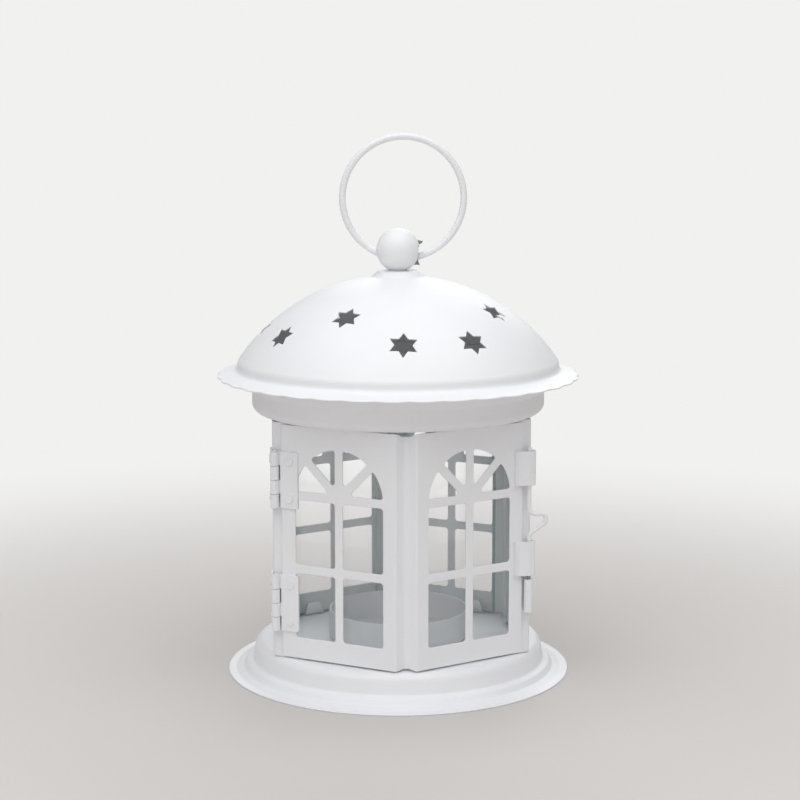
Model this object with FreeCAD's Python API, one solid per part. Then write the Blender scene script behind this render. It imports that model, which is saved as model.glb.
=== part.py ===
import FreeCAD, Part
import math
import os

# Hexagonal candle lantern of painted sheet steel with glass panes, in millimetres.
# Z is the lantern's axis, z = 0 is the table, and the fold of the door faces -Y.
# A face or corner of the cage is named by its azimuth, in degrees from -Y towards +X.

# Stock
sheet = 0.5            # pressed and folded steel
glass = 2.0            # window panes
leaf = 0.6             # hinge leaves
ring_wire = 2.0
bolt_wire = 1.3
pin_wire = 1.2

# Clearances
door_gap = 0.45        # over and under the door
jamb_gap = 0.3         # between the door's back and the jamb behind it
pane_gap = 0.35        # round a pane in its clips
slot_gap = 0.15        # round a fixing tab in its slot
run_gap = 0.05         # hinge pin in a knuckle
bolt_gap = 0.1         # bolt in its straps and keeper
rivet_gap = 0.05       # rivet in its hole
knuckle_gap = 0.12     # between neighbouring knuckles
skirt_gap = 0.05       # collar lip inside the roof skirt
neck_gap = 0.1         # finial neck in the crown hole

# Cage of six faces: two on the door, four fixed
cage_apothem = 38.0    # axis to the outside of a face
cage_height = 70.3     # base plateau to collar floor
groove_lip = 3.4       # theoretical corner to where the face bends into the fluted corner
groove_depth = 4.5     # theoretical corner to the bottom of the flute
groove_bend = 0.9      # outside bend at each lip of the flute
groove_round = 1.2     # outside bend at the bottom of the flute
groove_relief = 1.1    # notch across the fold at the door's foot and head
jamb_show = 3.0        # strip of jamb seen beside the door
jamb_lap = 1.6         # strip of jamb behind the door
jamb_bend = 1.6        # outside bend from side face to jamb
seam_bend = 0.9        # outside bend into the flanges riveted together at the back corner
seam_land = 0.2        # flange left beside a rivet
seam_rivets_count = 3
seam_rivet_margin = 10.0         # cage foot or head to the nearest seam rivet

# Arched window with a fan light, in every face
window_stile = 7.6     # window to the theoretical corner of the cage
window_sill = 6.8      # cage foot to the lowest light
window_head = 6.7      # top of the arch to the cage head
bar = 2.6              # glazing bars
light_corner = 0.9     # corner radius of a square light
fan_corner = 0.7       # corner radius of a fan light

# Panes and the clips that hold them
pane_lap = 1.0         # pane beyond the window on each side
clip_inset = 1.8       # clip's outer end in from the window's edge
clip_width = 7.0
clip_height = 4.0
tab_width = 8.0        # fixing tab in the middle of each fixed face
tab_fold = 4.0

# Base dish, from its plateau down and out to its rim
base_height = 9.6
base_margin = 5.4      # riser's top beyond the cage faces
base_round = 2.6
riser_flare = 1.0
riser_height = 3.4     # straight cone under the round shoulder
ledge_width = 1.8
ledge_drop = 0.7
step_width = 1.0
step_drop = 1.6
slope_width = 2.4
rim_width = 2.4        # flat ring that stands on the table
press_bend = 0.8       # bends between the steps of the base

# Candle cup for a tea light
cup_bore_r = 20.2
cup_height = 8.9
cup_round = 1.0
cup_rivet_r = 1.6
cup_rivet_head_r = 2.9

# Collar pan between the cage and the roof
collar_margin = 6.0    # wall beyond the cage faces
collar_round = 2.6
collar_wall = 4.0      # straight wall over the round
vent_lip = 11.0        # cage faces in to the hole for the hot air
flare_bend = 1.2       # outside bends at both ends of the flare
roof_lift = 12.7       # cage top to the foot of the roof skirt
lip_engage = 1.2       # collar lip inside the skirt

# Roof
skirt_margin = 4.3     # skirt beyond the collar wall
skirt_height = 1.9
shoulder_width = 0.2   # skirt's top in to the foot of the dome
shoulder_rise = 0.7
dome_height = 25.4
eave_width = 6.2       # skirt to the tips of the scallops
eave_drop = 1.8
eave_bend = 1.2        # skirt into eave
shoulder_bend = 0.6    # dome into skirt
boss_bend = 2.0        # edge of the crown's boss
scallop_count = 36
scallop_depth = 0.75
boss_r = 8.0
boss_top_r = 5.8
boss_rise = 1.3
star_count = 12
star_r = 4.45          # centre to point
star_low_inset = 8.1   # the star rows, in from the foot of the dome
star_high_inset = 16.1
star_every = 3         # each third star is in the upper row
star_turn = 3.0        # azimuth of the first star
star_twist = 3.0       # points turned from upright

# Finial ball and hanging ring
ball_r = 6.5
ball_neck_r = 2.7
ball_neck = 0.2        # neck seen between crown and ball
neck_flange = 1.4      # turned-out end of the neck under the crown
ring_r = 18.1          # to the middle of the wire
ring_slip = 1.5        # the ring rests a little to the right in its holes
ring_sink = 0.45       # and as much lower
pivot_drop = 1.05      # ring pivot under the ball's centre
ring_gap = 0.45        # round the ring in its hole
entry_gap = 1.3        # round the ring in the wider hole where it was put in

# Two hinges on the left corner
hinge_height = 16.8
hinge_foot = 8.4       # cage foot to the lower hinge
hinge_head = 8.3       # upper hinge to the cage head
leaf_corner = 0.6      # corner radius of a leaf
hinge_reach = 7.3      # pin to the free edge of a leaf
knuckle_count = 4
rivet_reach = 4.5      # pin to the rivets
rivet_spread = 11.0    # between the two rivets of a leaf
rivet_head_r = 1.3
rivet_tail_r = 1.0
rivet_shank_r = 0.7
rivet_head = 0.25
pin_stand = 0.3        # pin end beyond the knuckles

# Sliding bolt on the right corner
strap_height = 10.3
strap_head = 8.8       # upper strap to the cage head
strap_room = 16.8      # between the straps
strap_weld = 1.5       # doubled end of a strap, welded to the door
strap_reach = 4.7      # bolt to that end
strap_slack = 0.8      # room in the loop beside the bolt
strap_knee = 0.7       # bolt to where the loop's front bends down to the door
strap_bend = 1.0
keeper_drop = 1.2      # lower strap down to the keeper
keeper_height = 10.0
keeper_reach = 6.5
bolt_top_stand = 1.1   # bolt above the upper strap
bolt_shot = 6.6        # bolt inside the keeper
thumb_reach = 5.0      # how far the bent thumb loop stands out
thumb_bend = 1.5       # to the middle of the wire
thumb_rest = 1.3       # loop's foot over the lower strap
thumb_rise = 6.6       # foot of the loop to its level top

# Derived places
half_side = cage_apothem * math.tan(math.radians(30))
corner_r = cage_apothem / math.cos(math.radians(30))
z_floor = base_height
z_ceiling = z_floor + cage_height
door_foot = z_floor + door_gap
door_head = z_ceiling - door_gap
door_edge = half_side - jamb_show
jamb_recess = sheet + jamb_gap
window_half = half_side - window_stile
z_sill = z_floor + window_sill
z_spring = z_ceiling - window_head - window_half
light_height = (z_spring - z_sill - 3 * bar / 2) / 2
clip_outer = window_half - clip_inset
clip_inner = clip_outer - clip_width
pane_front = sheet + pane_gap
clip_back = pane_front + glass + pane_gap
collar_r = cage_apothem + collar_margin
vent_r = cage_apothem - vent_lip
skirt_r = collar_r + skirt_margin
lip_r = skirt_r - sheet - skirt_gap
z_skirt = z_ceiling + roof_lift
z_dome = z_skirt + skirt_height + shoulder_rise
dome_foot_r = skirt_r - shoulder_width
dome_r = (dome_foot_r ** 2 + dome_height ** 2) / (2 * dome_height)
z_dome_centre = z_dome + dome_height - dome_r
eave_r = skirt_r + eave_width
z_crown = z_dome + dome_height + boss_rise
z_ball = z_crown + ball_neck + math.sqrt(ball_r ** 2 - ball_neck_r ** 2)
z_pivot = z_ball - pivot_drop
pivot_half = math.sqrt((ball_r - sheet / 2) ** 2 - pivot_drop ** 2)
z_ring = z_pivot + math.sqrt(ring_r ** 2 - pivot_half ** 2) - ring_sink

ring_hole_r = ring_wire / 2 + ring_gap
entry_hole_r = ring_wire / 2 + entry_gap
star_low_r = dome_foot_r - star_low_inset
star_high_r = dome_foot_r - star_high_inset

seam_inset = seam_bend / math.tan(math.radians(30)) + seam_land + rivet_tail_r
seam_depth = seam_inset + rivet_tail_r + seam_land

knuckle_r = pin_wire / 2 + run_gap + leaf
loop_r = bolt_wire / 2 + bolt_gap
keeper_r = loop_r + sheet
hinge_feet = {"upper": z_ceiling - hinge_head - hinge_height, "lower": z_floor + hinge_foot}
upper_strap_foot = z_ceiling - strap_head - strap_height
lower_strap_foot = upper_strap_foot - strap_room - strap_height
keeper_top = lower_strap_foot - keeper_drop

TOUCHING = 1e-6
ORIGIN = FreeCAD.Vector(0, 0, 0)
UP = FreeCAD.Vector(0, 0, 1)
ACROSS = FreeCAD.Vector(1, 0, 0)

# Azimuths of the six faces
DOOR_FACES = {"left": -30, "right": 30}
FIXED_FACES = {"left_side": -90, "left_rear": -150, "right_rear": 150, "right_side": 90}


def on_face(azimuth, u, out=0.0, z=0.0):
    """Point u to the right of a face's middle, seen from outside, and out in front of it."""
    a = math.radians(azimuth)
    reach = cage_apothem + out
    return FreeCAD.Vector(u * math.cos(a) + reach * math.sin(a),
                          u * math.sin(a) - reach * math.cos(a), z)


def face_box(u_low, u_high, in_low, in_high, z_low, z_high):
    """Box on the face of azimuth 0, between two depths behind its outer surface."""
    return Part.makeBox(u_high - u_low, in_high - in_low, z_high - z_low,
                        FreeCAD.Vector(u_low, in_low - cage_apothem, z_low))


def at_face(shape, azimuth):
    """Turn a shape made on the face of azimuth 0 to another face."""
    turned = shape.copy()
    turned.rotate(ORIGIN, UP, azimuth)
    return turned


def upright(r, z):
    """Point of a profile that is turned about the axis or drawn on a face."""
    return FreeCAD.Vector(r, 0, z)


def run(start, end):
    """The straight edge between two points, or none where they are one point."""
    return [] if start.isEqual(end, TOUCHING) else [Part.LineSegment(start, end).toShape()]


def rounded(points, radii):
    """Edges of an open path through points, with a tangent arc of the given radius at each corner."""
    edges = []
    start = points[0]
    for before, here, after, radius in zip(points, points[1:], points[2:], radii):
        back = (before - here).normalize()
        ahead = (after - here).normalize()
        half = back.getAngle(ahead) / 2
        enter = here + back * (radius / math.tan(half))
        leave = here + ahead * (radius / math.tan(half))
        edges += run(start, enter)
        if radius:
            middle = (back + ahead).normalize()
            top = here + middle * (radius / math.sin(half) - radius)
            edges.append(Part.Arc(enter, top, leave).toShape())
        start = leave
    return edges + run(start, points[-1])


def beside(points, radii, normal, gap):
    """Path parallel to a rounded path, a gap to its left as seen against the normal."""
    sides = [normal.cross(b - a).normalize() * gap for a, b in zip(points, points[1:])]
    moved = [points[0] + sides[0]]
    new_radii = []
    for here, first, second, radius in zip(points[1:], sides, sides[1:], radii):
        turn = first.cross(second).dot(normal)
        moved.append(here + (first + second) * (gap ** 2 / (gap ** 2 + first.dot(second))))
        new_radii.append(max(radius - math.copysign(gap, turn), 0) if radius else 0)
    moved.append(points[-1] + sides[-1])
    return moved, new_radii


def loop_face(edges):
    return Part.Face(Part.Wire(Part.__sortEdges__(edges)))


def sheet_face(points, radii, normal):
    """Section of a bent sheet: a path along one side and the parallel path on its left."""
    inner, inner_radii = beside(points, radii, normal, sheet)
    ends = run(points[0], inner[0]) + run(points[-1], inner[-1])
    return loop_face(rounded(points, radii) + rounded(inner, inner_radii) + ends)


def turned_sheet(points, radii, facing):
    """Pressing made by turning a sheet section about the axis; facing is along Y, +1 or -1."""
    return sheet_face(points, radii, FreeCAD.Vector(0, facing, 0)).revolve(ORIGIN, UP, 360)


def closed_face(points, radii):
    """Flat face inside a polygon, with a rounding radius for each corner."""
    start = (points[-1] + points[0]) * 0.5
    return loop_face(rounded([start] + points + [start], radii))


def cylinder(radius, start, end):
    return Part.makeCylinder(radius, (end - start).Length, start, end - start)


# Window, panes and clips, on the face of azimuth 0

def fan_light(side, first, last):
    """Sector of the arch between the bars at two angles from level, on one side of the middle."""
    low = math.radians(first)
    high = math.radians(last)
    inset = math.asin(bar / 2 / window_half)
    hub = bar / 2 / math.sin((high - low) / 2)
    middle = (low + high) / 2

    def spot(radius, angle):
        return upright(side * radius * math.cos(angle), z_spring + radius * math.sin(angle))

    inner = spot(hub, middle)
    near = spot(window_half, low + inset)
    far = spot(window_half, high - inset)
    arch = Part.Arc(near, spot(window_half, middle), far).toShape()
    return loop_face(run(inner, near) + [arch] + run(far, inner))


def square_light(side, row):
    low = z_sill + row * (light_height + bar)
    corners = [upright(side * u, z) for u, z in ((bar / 2, low), (window_half, low),
                                                 (window_half, low + light_height),
                                                 (bar / 2, low + light_height))]
    return closed_face(corners, [light_corner] * len(corners))


def window_cutter():
    """The eight lights of one window, as prisms through the sheet."""
    through = FreeCAD.Vector(0, 3 * sheet, 0)
    prisms = []
    for side in (-1, 1):
        prisms += [square_light(side, row).extrude(through) for row in (0, 1)]
        for first, last in ((0, 45), (45, 90)):
            prism = fan_light(side, first, last).extrude(through)
            corners = [edge for edge in prism.Edges if edge.BoundBox.YLength > sheet]
            prisms.append(prism.makeFillet(fan_corner, corners))
    for prism in prisms:
        prism.translate(FreeCAD.Vector(0, -cage_apothem - sheet, 0))
    return prisms


WINDOW = window_cutter()


def clips(z_low, z_high):
    """Folds at the foot and head of a face that hold its pane."""
    parts = []
    for low, high in ((-clip_outer, -clip_inner), (clip_inner, clip_outer)):
        for edge, inward in ((z_low, 1), (z_high, -1)):
            fold = sorted((edge, edge + inward * sheet))
            lip = sorted((edge, edge + inward * clip_height))
            parts.append(face_box(low, high, sheet / 2, clip_back + sheet, *fold))
            parts.append(face_box(low, high, clip_back, clip_back + sheet, *lip))
    return parts


def fixing_tabs(gap=0.0):
    """Tabs of a fixed face, through base and collar and folded over; with a gap, their slots."""
    half = tab_width / 2 + gap
    foot = z_floor - sheet
    head = z_ceiling + sheet
    parts = [face_box(-half, half, -gap, sheet + gap, foot - sheet, z_floor + sheet),
             face_box(-half, half, -gap, sheet + gap, z_ceiling - sheet, head + sheet)]
    if not gap:
        parts.append(face_box(-half, half, 0, tab_fold, foot - sheet, foot))
        parts.append(face_box(-half, half, 0, tab_fold, head, head + sheet))
    return parts


def pane(azimuth, z_low, z_high):
    half = window_half + pane_lap
    flat = face_box(-half, half, pane_front, pane_front + glass, z_low + sheet, z_high - sheet)
    return at_face(flat, azimuth)


def glazed(strip, azimuths, z_low, z_high, extras=()):
    """Cut the windows of the given faces into a folded strip and add the folds of each."""
    added = []
    cuts = []
    for azimuth in azimuths:
        cuts += [at_face(prism, azimuth) for prism in WINDOW]
        added += [at_face(fold, azimuth) for fold in clips(z_low, z_high) + list(extras)]
    return strip.cut(cuts).fuse(added).removeSplitter()


# Door and cage, as strips folded round the corners

def flute(azimuth):
    """Path points and bends of a fluted corner."""
    lip = half_side - groove_lip
    a = math.radians(azimuth)
    bottom = corner_r - groove_depth
    points = [on_face(azimuth - 30, lip),
              FreeCAD.Vector(bottom * math.sin(a), -bottom * math.cos(a), 0),
              on_face(azimuth + 30, -lip)]
    return points, [groove_bend, groove_round, groove_bend]


def folded_strip(points, radii, z_low, z_high):
    section = sheet_face(points, radii, UP)
    section.translate(UP * z_low)
    return section.extrude(UP * (z_high - z_low))


def relief_notch(edge, way):
    """Three-cornered prism across the door's fluted fold, from its foot or head inwards."""
    lip = on_face(30, groove_lip - half_side)
    corners = [upright(-lip.x, edge), upright(0, edge + way * groove_relief), upright(lip.x, edge)]
    return closed_face(corners, [0] * len(corners)).extrude(FreeCAD.Vector(0, -2 * corner_r, 0))


def door_sheet():
    corners, radii = flute(0)
    points = [on_face(-30, -door_edge)] + corners + [on_face(30, door_edge)]
    strip = folded_strip(points, radii, door_foot, door_head)
    strip = glazed(strip, DOOR_FACES.values(), door_foot, door_head)
    notches = [relief_notch(door_foot, 1), relief_notch(door_head, -1)]
    return strip.cut(hinge_rivet_holes() + notches)


def cage_sheet_left():
    """Fixed half of the cage: jamb, side face, fluted corner, rear face and seam flange."""
    corners, radii = flute(-120)
    jamb_corner = on_face(-90, half_side - jamb_recess / math.cos(math.radians(30)))
    points = [FreeCAD.Vector(0, corner_r - seam_depth, 0), FreeCAD.Vector(0, corner_r, 0)]
    points += corners
    points += [jamb_corner, on_face(-30, -door_edge + jamb_lap, -jamb_recess)]
    radii = [seam_bend] + radii + [jamb_bend]
    strip = folded_strip(points, radii, z_floor, z_ceiling)
    strip = glazed(strip, (-150, -90), z_floor, z_ceiling, fixing_tabs())
    return strip.cut(seam_holes())


# Base, cup, collar and roof

def base_dish():
    shoulder_r = cage_apothem + base_margin
    points = [upright(0, base_height), upright(shoulder_r, base_height)]
    r = shoulder_r
    for width, drop in ((riser_flare, base_round + riser_height), (ledge_width, ledge_drop),
                        (step_width, step_drop)):
        r += width
        points.append(upright(r, points[-1].z - drop))
    r += slope_width
    points.append(upright(r, sheet))
    points.append(upright(r + rim_width, sheet))
    radii = [base_round] + [press_bend] * (len(points) - 3)
    dish = turned_sheet(points, radii, 1)
    slots = [at_face(slot, a) for a in FIXED_FACES.values() for slot in fixing_tabs(slot_gap)]
    rivet_hole = cylinder(cup_rivet_r + rivet_gap, ORIGIN, UP * z_ceiling)
    return dish.cut(slots + [rivet_hole])


def candle_cup():
    outer_r = cup_bore_r + sheet
    points = [upright(0, z_floor), upright(outer_r, z_floor), upright(outer_r, z_floor + cup_height)]
    cup = turned_sheet(points, [cup_round], -1)
    return cup.cut(cylinder(cup_rivet_r + rivet_gap, ORIGIN, UP * z_ceiling))


def rivet(low, high, shank_r, low_head_r, high_head_r, head):
    """Rivet along the line from low to high, with a flat head beyond each."""
    along = (high - low).normalize() * head
    shank = cylinder(shank_r, low - along, high + along)
    return shank.fuse([cylinder(low_head_r, low - along, low),
                       cylinder(high_head_r, high, high + along)]).removeSplitter()


def cup_rivet():
    return rivet(UP * (z_floor - sheet), UP * (z_floor + sheet), cup_rivet_r,
                 cup_rivet_head_r, cup_rivet_head_r, sheet)


def collar_pan():
    z_flare = z_ceiling + collar_round + collar_wall
    z_lip = z_flare + lip_r - collar_r
    points = [upright(vent_r, z_ceiling), upright(collar_r, z_ceiling), upright(collar_r, z_flare),
              upright(lip_r, z_lip), upright(lip_r, z_skirt + lip_engage)]
    pan = turned_sheet(points, [collar_round, flare_bend, flare_bend], -1)
    slots = [at_face(slot, a) for a in FIXED_FACES.values() for slot in fixing_tabs(slot_gap)]
    return pan.cut(slots)


def roof_skin(depth):
    """Edges of the roof's section a depth below its outer surface, from crown hole to eave."""
    ball = dome_r - depth

    def on_dome(r):
        return upright(r, z_dome_centre + math.sqrt(ball ** 2 - r ** 2))

    crown = upright(ball_neck_r + neck_gap, z_crown - depth)
    boss_top = upright(boss_top_r, z_crown - depth)
    boss_foot = on_dome(boss_r)
    dome_foot = on_dome(dome_foot_r - depth)
    shoulder = upright(skirt_r - depth, z_skirt + skirt_height - depth / 2)
    skirt_foot = upright(skirt_r - depth, z_skirt - depth)
    eave = upright(eave_r, z_skirt - eave_drop - depth)
    dome = Part.Arc(boss_foot, on_dome((boss_r + dome_foot_r) / 2), dome_foot).toShape()
    boss = rounded([crown, boss_top, boss_foot], [boss_bend - depth])
    edge = rounded([dome_foot, shoulder, skirt_foot, eave], [shoulder_bend - depth, eave_bend + depth])
    return boss + [dome] + edge, crown, eave


def scalloped_disc():
    """Prism with an edge of shallow round scallops that meet in points."""
    step = 2 * math.pi / scallop_count
    cusp_r = eave_r - scallop_depth

    def spot(radius, turns):
        return FreeCAD.Vector(radius * math.sin(turns * step), -radius * math.cos(turns * step), 0)

    arcs = [Part.Arc(spot(cusp_r, i), spot(eave_r, i + 0.5), spot(cusp_r, i + 1)).toShape()
            for i in range(scallop_count)]
    return Part.Face(Part.Wire(arcs)).extrude(UP * (z_crown + ball_r))


def star_cutter(index):
    """Six-pointed star punched square to the dome."""
    inner_r = star_r / math.sqrt(3)
    points = []
    for k in range(12):
        angle = math.radians(30 * k + star_twist)
        radius = inner_r if k % 2 else star_r
        points.append(FreeCAD.Vector(radius * math.sin(angle), radius * math.cos(angle), 0))
    punch = 4 * sheet
    star = Part.Face(Part.makePolygon(points + points[:1])).extrude(UP * 2 * punch)
    upper = index % star_every == star_every - 1
    tilt = math.degrees(math.asin((star_high_r if upper else star_low_r) / dome_r))
    star.translate(UP * (dome_r - punch))
    star.rotate(ORIGIN, ACROSS, tilt)
    star.rotate(ORIGIN, UP, star_turn + index * 360 / star_count)
    star.translate(UP * z_dome_centre)
    return star


def roof_dome():
    outer, crown, eave = roof_skin(0)
    inner, crown_under, eave_under = roof_skin(sheet)
    section = loop_face(outer + inner + run(crown, crown_under) + run(eave, eave_under))
    roof = section.revolve(ORIGIN, UP, 360)
    roof = roof.common(scalloped_disc())
    return roof.cut([star_cutter(i) for i in range(star_count)])


# Finial and ring

def finial_ball():
    """Hollow ball whose neck passes the crown and is turned out under it."""
    inner_r = ball_r - sheet
    neck_r = ball_neck_r - sheet
    flange_r = ball_neck_r + neck_flange
    z_under = z_crown - sheet
    z_bore = z_ball - math.sqrt(inner_r ** 2 - neck_r ** 2)
    corners = [upright(ball_neck_r, z_crown + ball_neck), upright(ball_neck_r, z_under),
               upright(flange_r, z_under), upright(flange_r, z_under - sheet),
               upright(neck_r, z_under - sheet), upright(neck_r, z_bore)]
    poles = [upright(0, z_ball + inner_r), upright(0, z_ball + ball_r)]
    edges = rounded(corners, [0] * (len(corners) - 2)) + run(*poles)
    edges.append(Part.Arc(poles[1], upright(ball_r, z_ball), corners[0]).toShape())
    edges.append(Part.Arc(corners[-1], upright(inner_r, z_ball), poles[0]).toShape())
    ball = loop_face(edges).revolve(ORIGIN, UP, 360)
    pivot = UP * z_pivot
    return ball.cut([cylinder(ring_hole_r, pivot - ACROSS * 2 * ball_r, pivot),
                     cylinder(entry_hole_r, pivot, pivot + ACROSS * 2 * ball_r)])


def hanging_ring():
    middle = ACROSS * ring_slip + UP * z_ring
    return Part.makeTorus(ring_r, ring_wire / 2, middle, FreeCAD.Vector(0, 1, 0))


# Hinges on the left corner: the pin stands in front of the door's face, in line with the side leaf

def corner_axis(radius, wall):
    """Axis of a knuckle that touches the door's face and whose leaf lies on the right side face."""
    x = cage_apothem + wall - radius
    y = (x * math.sin(math.radians(30)) - cage_apothem - radius) / math.cos(math.radians(30))
    return FreeCAD.Vector(x, y, 0)


bolt_axis = corner_axis(keeper_r, sheet)
right_pin = corner_axis(knuckle_r, leaf)
hinge_axis = FreeCAD.Vector(-right_pin.x, right_pin.y, 0)


def along_face(azimuth, point):
    """How far to the right of a face's middle a point lies."""
    a = math.radians(azimuth)
    return point.x * math.cos(a) + point.y * math.sin(a)


def knuckle_row(foot, row):
    pitch = hinge_height / knuckle_count
    return foot + row * pitch + knuckle_gap / 2, foot + (row + 1) * pitch - knuckle_gap / 2


def leaf_plate(azimuth, u_pin, u_free, wall, z_low, z_high):
    low, high = sorted((u_pin, u_free))
    return at_face(face_box(low, high, -wall, 0, z_low, z_high), azimuth)


def hinge_leaf(azimuth, direction, foot, first_row):
    """Leaf flat on a face, with every second knuckle; direction is the way it runs from the pin."""
    u_pin = along_face(azimuth, hinge_axis)
    u_free = u_pin + direction * hinge_reach
    plate = leaf_plate(azimuth, u_pin, u_free, leaf, foot, foot + hinge_height)
    edge = on_face(azimuth, u_free)
    free_corners = [e for e in plate.Edges
                    if e.BoundBox.ZLength < leaf and e.CenterOfMass.isEqual(
                        FreeCAD.Vector(edge.x, edge.y, e.CenterOfMass.z), leaf)]
    plate = plate.makeFillet(leaf_corner, free_corners)
    clear_r = knuckle_r + 2 * knuckle_gap
    rows = [knuckle_row(foot, row) for row in range(knuckle_count)]
    for low, high in rows[1 - first_row::2]:
        low -= knuckle_gap
        high += knuckle_gap
        notch = leaf_plate(azimuth, u_pin - clear_r, u_pin + clear_r, 2 * clear_r, low, high)
        plate = plate.cut([notch, cylinder(clear_r, hinge_axis + UP * low, hinge_axis + UP * high)])
    barrels = [cylinder(knuckle_r, hinge_axis + UP * low, hinge_axis + UP * high)
               for low, high in rows[first_row::2]]
    bore = cylinder(pin_wire / 2 + run_gap, hinge_axis, hinge_axis + UP * z_crown)
    whole = plate.fuse(barrels).removeSplitter()
    return whole.cut([bore] + rivet_holes(azimuth, u_pin + direction * rivet_reach))


def rivet_levels():
    return [foot + (hinge_height + side * rivet_spread) / 2
            for foot in hinge_feet.values() for side in (-1, 1)]


def rivet_holes(azimuth, u):
    """Holes square to a face at every rivet of one row."""
    return [cylinder(rivet_shank_r + rivet_gap, on_face(azimuth, u, -2 * leaf - sheet, z),
                     on_face(azimuth, u, 2 * leaf, z)) for z in rivet_levels()]


DOOR_RIVET_U = along_face(-30, hinge_axis) + rivet_reach
SIDE_RIVET_U = along_face(-90, hinge_axis) - rivet_reach


def hinge_rivet_holes():
    return rivet_holes(-30, DOOR_RIVET_U)


def hinge_rivets(azimuth, u):
    """Rivets through a leaf and the sheet under it, as one group."""
    return Part.makeCompound([
        rivet(on_face(azimuth, u, -sheet, z), on_face(azimuth, u, leaf, z), rivet_shank_r,
              rivet_tail_r, rivet_head_r, rivet_head) for z in rivet_levels()])


def hinge_pin(foot):
    return cylinder(pin_wire / 2, hinge_axis + UP * (foot - pin_stand),
                    hinge_axis + UP * (foot + hinge_height + pin_stand))


# Seam at the back corner

def seam_spots():
    y = corner_r - seam_inset
    low = z_floor + seam_rivet_margin
    step = (cage_height - 2 * seam_rivet_margin) / (seam_rivets_count - 1)
    return [FreeCAD.Vector(0, y, low + i * step) for i in range(seam_rivets_count)]


def seam_holes():
    return [cylinder(rivet_shank_r + rivet_gap, spot - ACROSS * 2 * sheet, spot + ACROSS * 2 * sheet)
            for spot in seam_spots()]


def seam_rivets():
    return Part.makeCompound([
        rivet(spot - ACROSS * sheet, spot + ACROSS * sheet, rivet_shank_r,
              rivet_tail_r, rivet_tail_r, rivet_head) for spot in seam_spots()])


# Bolt, straps and keeper on the right corner

def bolt_strap(foot):
    """Strip folded round the bolt, its doubled end flat on the door and its loop past the edge."""
    u_bolt = along_face(30, bolt_axis)
    u_end = u_bolt - strap_reach
    u_far = u_bolt + strap_slack + keeper_r
    corners = ((u_end, 0), (u_far, 0), (u_far, 2 * keeper_r), (u_bolt - strap_knee, 2 * keeper_r),
               (u_end + strap_weld, 2 * sheet), (u_end, 2 * sheet))
    path = [FreeCAD.Vector(u, -cage_apothem - out, foot) for u, out in corners]
    radii = [keeper_r, keeper_r, strap_bend, 0]
    inner, inner_radii = beside(path, radii, -UP, sheet)
    outline = loop_face(rounded(path, radii) + run(path[-1], path[0]))
    section = outline.cut(closed_face(inner[1:-1], inner_radii))
    return at_face(section.extrude(UP * strap_height), 30)


def bolt_keeper():
    """Rolled tube on a leaf that lies on the right side face."""
    head = UP * keeper_top
    foot = head - UP * keeper_height
    u_bolt = along_face(90, bolt_axis)
    plate = leaf_plate(90, u_bolt, u_bolt + keeper_reach, sheet, foot.z, head.z)
    barrel = cylinder(keeper_r, bolt_axis + foot, bolt_axis + head)
    bore = cylinder(loop_r, bolt_axis, bolt_axis + UP * z_crown)
    return plate.fuse(barrel).removeSplitter().cut(bore)


def slide_bolt():
    """Wire with a bent thumb loop between the straps."""
    z_rest = lower_strap_foot + strap_height + thumb_rest
    z_level = z_rest + thumb_rise
    path = [bolt_axis + UP * (upper_strap_foot + strap_height + bolt_top_stand),
            bolt_axis + UP * z_level,
            bolt_axis + UP * z_level + ACROSS * (thumb_reach + thumb_bend),
            bolt_axis + UP * z_rest,
            bolt_axis + UP * (keeper_top - bolt_shot)]
    spine = Part.Wire(rounded(path, [thumb_bend] * 3))
    ring = Part.Wire(Part.makeCircle(bolt_wire / 2, path[0], UP))
    return spine.makePipeShell([ring], True, False)


# Every piece by its name

pieces = {
    "base_dish": base_dish(),
    "candle_cup": candle_cup(),
    "cup_rivet": cup_rivet(),
    "collar_pan": collar_pan(),
    "roof_dome": roof_dome(),
    "finial_ball": finial_ball(),
    "hanging_ring": hanging_ring(),
    "door_sheet": door_sheet(),
    "rear_seam_rivets": seam_rivets(),
    "door_hinge_rivets": hinge_rivets(-30, DOOR_RIVET_U),
    "side_hinge_rivets": hinge_rivets(-90, SIDE_RIVET_U),
    "upper_bolt_strap": bolt_strap(upper_strap_foot),
    "lower_bolt_strap": bolt_strap(lower_strap_foot),
    "bolt_keeper": bolt_keeper(),
    "slide_bolt": slide_bolt(),
}

left_half = cage_sheet_left()
pieces["cage_sheet_right"] = left_half.mirror(ORIGIN, ACROSS)
pieces["cage_sheet_left"] = left_half.cut(rivet_holes(-90, SIDE_RIVET_U))

for side, azimuth in DOOR_FACES.items():
    pieces["door_pane_" + side] = pane(azimuth, door_foot, door_head)
for side, azimuth in FIXED_FACES.items():
    pieces["cage_pane_" + side] = pane(azimuth, z_floor, z_ceiling)

for level, foot in hinge_feet.items():
    pieces[level + "_hinge_door_leaf"] = hinge_leaf(-30, 1, foot, 1)
    pieces[level + "_hinge_side_leaf"] = hinge_leaf(-90, -1, foot, 0)
    pieces[level + "_hinge_pin"] = hinge_pin(foot)

os.makedirs("parts", exist_ok=True)
for name, shape in pieces.items():
    shape.exportStep("parts/" + name + ".step")

print("hinge axis", hinge_axis, "bolt axis", bolt_axis)
print("ring pivot height", z_pivot, "overall height", z_ring + ring_r + ring_wire / 2)
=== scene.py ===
import math

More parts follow.
